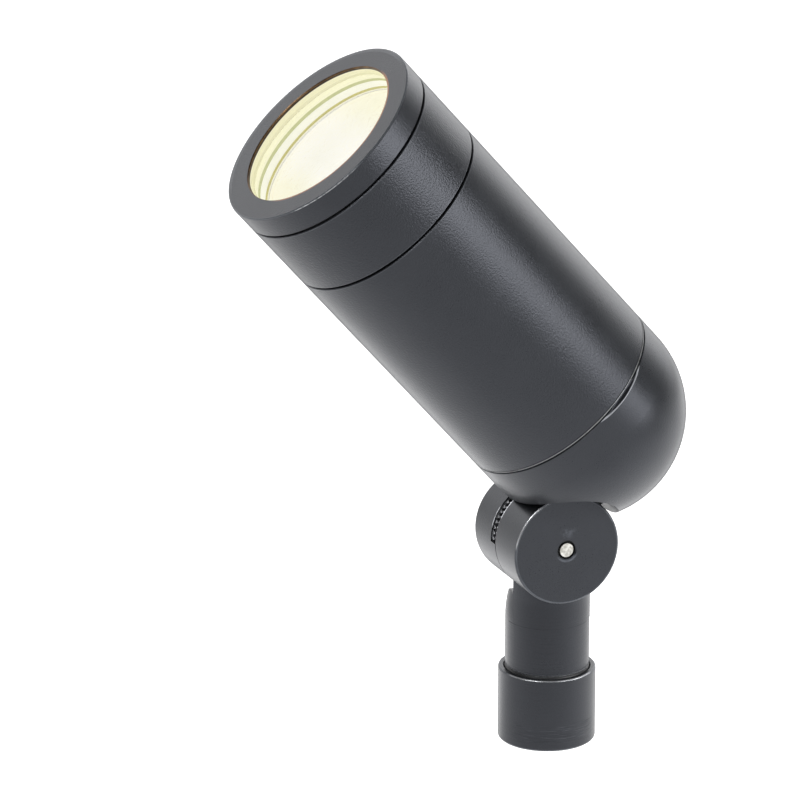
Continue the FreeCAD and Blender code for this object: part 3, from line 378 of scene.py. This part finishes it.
def build_collar(t):
    p, colour, rough, normal, height = coat_base(t, STEM, 0.8)
    r, a, z = t.polar(p)
    rings = t.noise(t.join(t.math("MULTIPLY", a, 0.4), z, 0.0), 2.2, 3.0, 0.7)
    lines = t.noise(t.join(t.math("MULTIPLY", a, 0.9), t.math("MULTIPLY", z, 3.2), 0.0), 1.0, 2.0, 0.6)
    low = t.ramp(z, 3.0, 7.5, 1.0, 0.35)
    normal = t.bump(t.math("MULTIPLY", t.sum(rings, t.prod(lines, 0.9)), low), 0.000060, 1.0, normal)
    # Short light scratches low on the front, and painted highlights of lighter coat on the edges at the top and the
    # foot.
    scratch = t.noise(t.join(t.prod(a, 2.2), t.prod(z, 4.5), 3.0), 1.0, 1.0, 0.5)
    scratch = t.prod(t.ramp(scratch, 0.60, 0.68), t.band(z, 3.2, 7.0, 1.0), t.band(a, -2.3, -1.2, 0.3))
    painted_lip_highlight = t.math("MULTIPLY", t.ramp(z, 20.45, 20.62), t.band(r, 12.95, 13.6, 0.12))
    painted_inner_highlight = t.math("MULTIPLY", t.ramp(z, 20.60, 20.72), t.ramp(r, 12.22, 12.30, 1.0, 0.0))
    painted_foot_highlight = t.math("MULTIPLY", t.ramp(z, 0.75, 0.45, 0.0, 1.0), t.ramp(r, 12.9, 13.1))
    edge = t.math("MAXIMUM", t.math("MAXIMUM", t.prod(painted_lip_highlight, 0.55), t.prod(painted_inner_highlight, 0.8)), t.prod(painted_foot_highlight, 0.75))
    edge = t.math("MULTIPLY", edge, t.ramp(t.noise(p, 0.3, 3.0, 0.6), 0.30, 0.65, 0.55, 1.0))
    rubbed = t.prod(t.ramp(z, 20.58, 20.68), t.band(r, 13.04, 13.42, 0.07), t.band(a, -2.60, -1.15, 0.40))
    rubbed = t.math("MULTIPLY", rubbed, t.ramp(t.noise(p, 0.6, 3.0, 0.6), 0.28, 0.5, 0.65, 1.0))
    # Bare brass where the pipe thread is cut.
    inside = t.math("MULTIPLY", t.ramp(r, 10.2, 10.5, 1.0, 0.0), t.ramp(z, 17.5, 18.5, 1.0, 0.0))
    dull = t.noise(t.join(t.prod(a, 3.0), t.prod(z, 5.5), 9.0), 0.8, 1.0, 0.5)
    dull = t.prod(t.ramp(dull, 0.58, 0.66), t.band(z, 2.6, 7.6, 1.0), t.band(a, -2.6, -1.0, 0.3))
    # Painted shade: the whole collar's coat is darker by 45%.
    colour = t.mix(0.45, colour, (0.0, 0.0, 0.0))
    colour = t.mix(t.math("MULTIPLY", scratch, 0.6), colour, (0.055, 0.059, 0.067))
    colour = t.mix(edge, colour, EDGE_HIGHLIGHT_PAINT)
    colour = t.mix(rubbed, colour, (0.85, 0.86, 0.89))
    rough = t.sum(rough, t.prod(dull, 0.32))
    colour = t.mix(inside, colour, (0.50, 0.36, 0.17))
    bare = t.math("MAXIMUM", inside, rubbed)
    return {"Base_Color": colour, "Roughness": t.mixf(bare, rough, 0.37), "Metallic": bare, "Normal": normal}


def build_metal(shade, dark, axes, turned=True, rough0=0.28):
    def build(t):
        p = t.about(*axes)
        r, a, z = t.polar(p)
        rings = t.noise(t.join(r, t.math("MULTIPLY", a, 0.12), t.math("MULTIPLY", z, 1.0)), 7.0, 2.0, 0.6)
        blotch = t.noise(p, 1.1, 4.0, 0.6, 0.4)
        colour = t.mix(t.ramp(blotch, 0.35, 0.7), dark, shade)
        rough = t.sum(rough0, t.prod(blotch, 0.2), t.prod(rings, 0.08))
        return {"Base_Color": colour, "Roughness": rough, "Normal": t.bump(t.sum(t.prod(rings, 0.6 if turned else 0.2), t.prod(blotch, 0.5)), 0.00003)}
    return build


def build_rubber(base, light, scale=1.2):
    def build(t):
        p = t.about(*STEM)
        n = t.noise(p, scale, 3.0, 0.6)
        fine = t.noise(p, 6.0, 2.0, 0.5)
        colour = t.mix(t.ramp(n, 0.35, 0.7), base, light)
        rough = t.sum(0.55, t.prod(fine, 0.3))
        return {"Base_Color": colour, "Roughness": rough, "Normal": t.bump(t.sum(n, t.prod(fine, 0.6)), 0.00002)}
    return build


def glass_material():
    m = bpy.data.materials.new("lens_glass_clear")
    t = Tree(m)
    out = t.add("OutputMaterial")
    p = t.about(*HEAD)
    clear = t.add("BsdfTransparent")
    smudge_and_painted_highlight = t.noise(p, 0.12, 3.0, 0.6)
    t.put(clear.inputs["Color"], t.mix(t.ramp(smudge_and_painted_highlight, 0.3, 0.7), (0.985, 0.992, 0.975), (0.965, 0.975, 0.95)))
    mirror = t.add("BsdfGlossy")
    mirror.inputs["Color"].default_value = (1, 1, 1, 1)
    t.put(mirror.inputs["Roughness"], t.ramp(smudge_and_painted_highlight, 0.3, 0.8, 0.02, 0.09))
    # Reflection of a plain pane, the same on both of its faces.
    edge_on = t.add("LayerWeight")
    edge_on.inputs["Blend"].default_value = 0.5
    share = t.math("ADD", t.math("MULTIPLY", t.math("POWER", edge_on.outputs["Facing"], 5.0), 0.96), 0.04)
    mixer = t.add("MixShader")
    t.put(mixer.inputs[0], share)
    t.put(mixer.inputs[1], clear.outputs[0])
    t.put(mixer.inputs[2], mirror.outputs[0])
    # The pane's ground edge has a painted glow, standing in for the light that it carries sideways.
    r, a, s = t.polar(p)
    ground = t.add("BsdfPrincipled")
    frost = t.noise(p, 1.4, 3.0, 0.6)
    shade = t.mix(t.ramp(frost, 0.3, 0.75), CREAM, (0.86, 0.83, 0.60))
    t.put(ground.inputs["Base Color"], t.mix(0.72, shade, (0.0, 0.0, 0.0)))
    t.put(ground.inputs["Emission Color"], shade)
    ground.inputs["Emission Strength"].default_value = 0.85
    t.put(ground.inputs["Roughness"], t.ramp(frost, 0.3, 0.7, 0.45, 0.6))
    rimmed = t.add("MixShader")
    t.put(rimmed.inputs[0], t.math("GREATER_THAN", r, 26.30))
    t.put(rimmed.inputs[1], mixer.outputs[0])
    t.put(rimmed.inputs[2], ground.outputs[0])
    t.put(out.inputs["Surface"], rimmed.outputs[0])
    return m


def glow(name, centre, edge, r0, r1, strength, lengthwise=False):
    """A lit surface about the head's axis, warm white in the middle and yellower towards its rim or its two ends."""
    def build(t):
        p = t.about(*HEAD)
        r, a, s = t.polar(p)
        soft = t.noise(p, 0.09, 2.0, 0.5)
        reach = t.math("ABSOLUTE", t.xyz(p)[0]) if lengthwise else r
        fac = t.ramp(t.sum(reach, t.prod(t.math("SUBTRACT", soft, 0.5), 9.0)), r0, r1)
        colour = t.mix(fac, centre, edge)
        rib = t.noise(p, 0.8, 2.0, 0.5)
        colour = t.mix(t.math("MULTIPLY", t.ramp(rib, 0.35, 0.75), 0.08), colour, (0.90, 0.78, 0.55))
        ring = t.band(r, 22.70, 22.86, 0.10)
        colour = t.mix(t.math("MULTIPLY", ring, 0.35), colour, (0.70, 0.62, 0.36))
        return {"Base_Color": t.mix(0.72, colour, (0.0, 0.0, 0.0)), "Emission_Color": colour, "Roughness": t.ramp(rib, 0.3, 0.7, 0.25, 0.45), "Normal": t.bump(rib, 0.00003)}
    return principled(name, build, Emission_Strength=strength)


def tinted(name, colours, scale=0.8, rough=0.5, painted_glow=0.0, metal=0.0, bump=0.00002, above=None, below=None):
    """A mottled plastic or rubber; above and below give a station along the head's axis and the colour past it."""
    def build(t):
        p = t.about(*HEAD)
        station = t.xyz(p)[2]
        n = t.noise(p, scale, 3.0, 0.6)
        fine = t.noise(p, scale * 6.0, 2.0, 0.5)
        colour = t.mix(t.ramp(n, 0.3, 0.7), colours[0], colours[1])
        if above:
            colour = t.mix(t.ramp(station, above[0] - 0.08, above[0] + 0.08), colour, above[1])
        if below:
            colour = t.mix(t.ramp(station, below[0] - 0.08, below[0] + 0.08, 1.0, 0.0), colour, below[1])
        made = {"Base_Color": colour, "Roughness": t.sum(rough - 0.08, t.prod(fine, 0.16)), "Normal": t.bump(t.sum(n, t.prod(fine, 0.5)), bump)}
        # A painted glow: the part emits its own colour.
        if painted_glow:
            made["Emission_Color"] = colour
            made["Base_Color"] = t.mix(0.72, colour, (0.0, 0.0, 0.0))
        return made
    return principled(name, build, Emission_Strength=painted_glow, Metallic=metal)


def use(node, material):
    """Puts a material in every slot of a CAD node."""
    data = NODES[node].data
    if not data.materials:
        data.materials.append(material)
    for i in range(len(data.materials)):
        data.materials[i] = material


use("front_collar", coat("coat_front_collar", build_cap))
use("body_tube", coat("coat_tube", build_tube))
use("rear_dome", coat("coat_dome", build_dome))
# The bezel glows with painted lamp light.
use("bezel_ring", coat("coat_bezel", build_bezel, 0.85))
use("stem_knuckle", coat("coat_stem", build_knuckle))
use("base_collar", coat("coat_collar", build_collar))

steel = principled("steel_screw", build_metal((0.78, 0.77, 0.73), (0.42, 0.41, 0.37), KNUCKLE, True, 0.30), Metallic=1.0)
use("pivot_washer", steel)


def build_pivot_screw(t):
    made = build_metal((0.78, 0.77, 0.73), (0.42, 0.41, 0.37), KNUCKLE, True, 0.30)(t)
    r, a, h = t.polar(t.about(*KNUCKLE))
    rim = t.math("MULTIPLY", t.ramp(r, 1.92, 1.99), t.ramp(h, 12.0, 12.2))
    made["Base_Color"] = t.mix(rim, made["Base_Color"], (0.035, 0.035, 0.034))
    return made


use("pivot_screw", principled("steel_pivot", build_pivot_screw, Metallic=1.0))
steel_head = principled("steel_inner", build_metal((0.72, 0.71, 0.69), (0.50, 0.49, 0.47), HEAD, True, 0.30), Metallic=1.0)
for n in ("bracket_screws", "socket_screws", "lamp_pins"):
    use(n, steel_head)
use("socket_bracket", principled("zinc_bracket", build_metal((0.62, 0.63, 0.66), (0.45, 0.46, 0.49), HEAD, False, 0.35), Metallic=1.0))
use("socket_contacts", principled("brass_contacts", build_metal((0.78, 0.58, 0.27), (0.55, 0.40, 0.18), HEAD, False, 0.30), Metallic=1.0))
use("lamp_heat_sink", principled("lamp_shell", build_metal((0.80, 0.80, 0.81), (0.62, 0.62, 0.63), HEAD, True, 0.32), Metallic=1.0))

rubber = principled("seal_rubber", build_rubber((0.012, 0.012, 0.012), (0.022, 0.022, 0.023)))
for n in ("knuckle_gasket", "stem_wire_grommet", "dome_wire_grommet", "dome_o_ring", "collar_tube_o_ring"):
    use(n, rubber)
def build_seal(t):
    p = t.about(*STEM)
    r, a, z = t.polar(p)
    n = t.noise(p, 1.2, 3.0, 0.6)
    fine = t.noise(p, 6.0, 2.0, 0.5)
    # Painted highlight: a light line along the ring's top.
    painted_crest_highlight = t.math("MULTIPLY", t.ramp(z, 21.28, 21.40), t.ramp(n, 0.3, 0.6, 0.5, 1.0))
    colour = t.mix(t.ramp(n, 0.35, 0.7), (0.020, 0.021, 0.023), (0.032, 0.034, 0.038))
    colour = t.mix(painted_crest_highlight, colour, (0.30, 0.31, 0.33))
    return {"Base_Color": colour, "Roughness": t.sum(0.38, t.prod(fine, 0.2)), "Normal": t.bump(t.sum(n, t.prod(fine, 0.6)), 0.00002)}


use("collar_o_ring", principled("seal_ring", build_seal))
# The lens stack's gaskets and rings glow with painted lamp light.
use("lens_front_gasket", tinted("seal_clear", (CREAM, (0.80, 0.77, 0.52)), 0.5, 0.5, 0.85))
use("lens_glass", glass_material())
use("lens_seat_gasket", tinted("seal_khaki", ((0.38, 0.40, 0.115), (0.44, 0.45, 0.15)), 0.5, 0.6, 0.85, above=(131.62, CREAM)))
use("spacer_ring", tinted("spacer_white", ((0.83, 0.81, 0.71), (0.87, 0.85, 0.76)), 0.4, 0.45, 0.85))
use("lamp_retaining_ring", tinted("ring_olive", ((0.40, 0.35, 0.020), (0.48, 0.42, 0.035)), 0.5, 0.4, 0.85, below=(127.80, (0.84, 0.80, 0.66))))
use("lamp_front_lens", glow("lamp_lens_glow", (0.90, 0.86, 0.80), (0.88, 0.83, 0.62), 5.0, 19.0, 0.74, True))
use("lamp_optic", tinted("optic_mirror", ((0.80, 0.80, 0.80), (0.88, 0.88, 0.87)), 0.3, 0.15, 0.0, 1.0))
use("lamp_led_board", tinted("board_white", ((0.74, 0.74, 0.73), (0.82, 0.82, 0.81)), 0.9, 0.4))
use("lamp_led_emitter", glow("emitter_glow", (1.0, 0.80, 0.42), (0.98, 0.70, 0.25), 2.0, 6.0, 2.0))
use("lamp_base", tinted("lamp_plastic", ((0.76, 0.76, 0.74), (0.84, 0.84, 0.82)), 0.6, 0.45))
use("lamp_driver_board", tinted("board_green", ((0.02, 0.12, 0.05), (0.04, 0.20, 0.09)), 0.7, 0.35))
use("lamp_driver_parts", tinted("parts_black", ((0.02, 0.02, 0.025), (0.05, 0.05, 0.06)), 0.7, 0.5))
use("lamp_socket", tinted("socket_ceramic", ((0.80, 0.77, 0.70), (0.88, 0.86, 0.80)), 0.9, 0.55))
use("socket_leads", tinted("lead_sleeve", ((0.72, 0.71, 0.67), (0.80, 0.79, 0.75)), 0.9, 0.6))
use("wire_connectors", tinted("connector_plastic", ((0.45, 0.07, 0.04), (0.58, 0.11, 0.06)), 0.7, 0.45))


# ---------------------------------------------------------------- pieces
def mesh_piece(name, verts, faces, smooth=False):
    me = bpy.data.meshes.new(name)
    me.from_pydata([tuple(v) for v in verts], [], faces)
    me.validate()
    for poly in me.polygons:
        poly.use_smooth = smooth
    o = bpy.data.objects.new(name, me)
    bpy.context.scene.collection.objects.link(o)
    return o


def helix_ridge(name, radius, depth, pitch, low, high, steps=96):
    """The crests of a parallel pipe thread inside a socket: a rounded triangular ridge wound up its wall, run out at both ends."""
    turns = (high - low) / pitch
    count = int(steps * turns)
    verts, faces = [], []
    section = [(0.02, -0.46), (-0.82, -0.10), (-0.82, 0.10), (0.02, 0.46)]
    for i in range(count + 1):
        ang = 2 * math.pi * i / steps
        z = low + pitch * i / steps
        fade = min(1.0, i / (steps * 0.4), (count - i) / (steps * 0.4))
        for dr, dz in section:
            r = radius + (dr * depth * max(fade, 0.02) if dr < 0 else dr)
            verts.append((r * math.cos(ang) * MM, r * math.sin(ang) * MM, (z + dz * pitch) * MM))
    n = len(section)
    for i in range(count):
        for j in range(n):
            a, b = i * n + j, i * n + (j + 1) % n
            faces.append((a, b, b + n, a + n))
    faces.append(tuple(reversed(range(n))))
    faces.append(tuple(count * n + j for j in range(n)))
    return mesh_piece(name, verts, faces)


def build_thread(t):
    p = t.about(*STEM)
    blotch = t.noise(p, 0.9, 3.0, 0.6)
    fine = t.noise(p, 5.0, 2.0, 0.5)
    colour = t.mix(t.ramp(blotch, 0.35, 0.7), (0.42, 0.29, 0.12), (0.58, 0.43, 0.21))
    return {"Base_Color": colour, "Roughness": t.sum(0.28, t.prod(fine, 0.18)), "Normal": t.bump(fine, 0.00001)}


thread = helix_ridge("socket_thread", 9.9, 0.95, 1.814, 0.95, 9.6)
thread.data.materials.append(principled("thread_brass", build_thread, Metallic=1.0))
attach(thread, "base")


# ---------------------------------------------------------------- stage and light
# The sweep lies a little below the collar's foot, because the tilted head can reach 13 mm below it.
floor = mesh_piece("floor", [(-30, -30, -0.0145), (30, -30, -0.0145), (30, 30, -0.0145), (-30, 30, -0.0145)], [(0, 1, 2, 3)])
floor_mat = bpy.data.materials.new("floor_pale")
ft = Tree(floor_mat)
fo = ft.add("OutputMaterial")
fp = ft.add("BsdfPrincipled")
ft.put(fo.inputs["Surface"], fp.outputs[0])
fp.inputs["Roughness"].default_value = 0.9
fp.inputs["Specular IOR Level"].default_value = 0.0
fp.inputs["Emission Color"].default_value = (1, 1, 1, 1)
# The sweep is brightest close behind the object and falls off in front and to the right, out of the picture.
fx, fy, fz = ft.xyz(ft.place())
front = ft.sum(ft.prod(fx, -0.41), ft.prod(fy, -0.91))
aside = ft.sum(ft.prod(fx, 0.91), ft.prod(fy, -0.41))
right_fall = ft.prod(ft.ramp(aside, 0.25, 1.2, 1.0, 0.5),
                     ft.math("SUBTRACT", 1.0, ft.prod(ft.ramp(aside, 0.20, 0.42), ft.ramp(front, -0.15, -0.02), 0.55)))
behind = ft.prod(ft.band(front, -0.15, -0.08, 0.10), ft.ramp(aside, -0.20, -0.09), ft.ramp(aside, -0.02, 0.12, 1.0, 0.3))
beyond = ft.prod(ft.ramp(front, -0.15, -0.45, 0.0, 1.0), ft.ramp(aside, -0.4, 0.1))
spot_x = ft.math("SUBTRACT", aside, 0.105)
spot = ft.ramp(ft.math("SQRT", ft.sum(ft.prod(front, front), ft.prod(spot_x, spot_x))), 0.02, 0.08, 1.0, 0.0)
front_fall = ft.sum(ft.ramp(front, 0.045, 0.12, 0.0, 0.26), ft.ramp(front, 0.13, 0.30, 0.0, 0.34))
glow_level = ft.sum(0.82, ft.prod(behind, 0.54), ft.prod(beyond, 0.50), ft.prod(spot, 0.28), ft.prod(front_fall, -1.0))
ft.put(fp.inputs["Emission Strength"], ft.math("MULTIPLY", glow_level, right_fall))
ft.put(fp.inputs["Base Color"], ft.mix(ft.ramp(aside, 0.25, 0.6), (0.80, 0.80, 0.80), (0.35, 0.35, 0.35)))
floor.data.materials.append(floor_mat)

world = bpy.data.worlds.new("studio")
bpy.context.scene.world = world
wt = Tree(world)
wo = wt.add("OutputWorld")
bg = wt.add("Background")
wt.put(wo.inputs["Surface"], bg.outputs[0])
sky = wt.add("TexCoord").outputs["Generated"]
sx, sy, sz = wt.xyz(sky)
flat = wt.math("SQRT", wt.sum(wt.prod(sx, sx), wt.prod(sy, sy)))
far = math.radians(75.0)
toward = wt.math("DIVIDE", wt.sum(wt.prod(sx, math.cos(far)), wt.prod(sy, math.sin(far))), wt.math("MAXIMUM", flat, 0.001))
tall = wt.ramp(sz, 0.36, 0.80, 1.0, 0.0)
sheet = wt.math("MULTIPLY", wt.ramp(toward, 0.0, 0.75), tall)
near = math.radians(38.0)
aside = wt.math("DIVIDE", wt.sum(wt.prod(sx, math.cos(near)), wt.prod(sy, math.sin(near))), wt.math("MAXIMUM", flat, 0.001))
patch = wt.math("MULTIPLY", wt.ramp(aside, 0.88, 0.99), tall)
raised = wt.prod(wt.ramp(sz, 0.10, 0.32), wt.ramp(toward, 0.5, 0.9), tall)
level = wt.sum(0.07, wt.prod(sheet, 1.10), wt.prod(patch, 0.85), wt.prod(raised, 0.62))
wt.put(bg.inputs["Strength"], level)
bg.inputs["Color"].default_value = (1.0, 1.0, 1.0, 1)


def softbox(name, azimuth, elevation, distance, width, height, radiance, colour=(1, 1, 1), target=(-0.015, 0.0, 0.10), mirrored=True):
    """A rectangular area light, its brightness given as the radiance of its face."""
    a, e = math.radians(azimuth), math.radians(elevation)
    d = Vector((math.cos(e) * math.cos(a), math.cos(e) * math.sin(a), math.sin(e)))
    light = bpy.data.lights.new(name, "AREA")
    light.shape = "RECTANGLE"
    light.size, light.size_y = width, height
    light.energy = radiance * math.pi * width * height
    light.color = colour
    o = bpy.data.objects.new(name, light)
    bpy.context.scene.collection.objects.link(o)
    o.location = Vector(target) + d * distance
    o.rotation_euler = d.to_track_quat("Z", "Y").to_euler()
    o.visible_camera = False
    o.visible_glossy = mirrored
    return o


softbox("key", -50.8, 17.0, 1.0, 0.77, 0.66, 4.8)
softbox("edge", -152.0, 44.0, 1.0, 0.34, 0.34, 6.0)
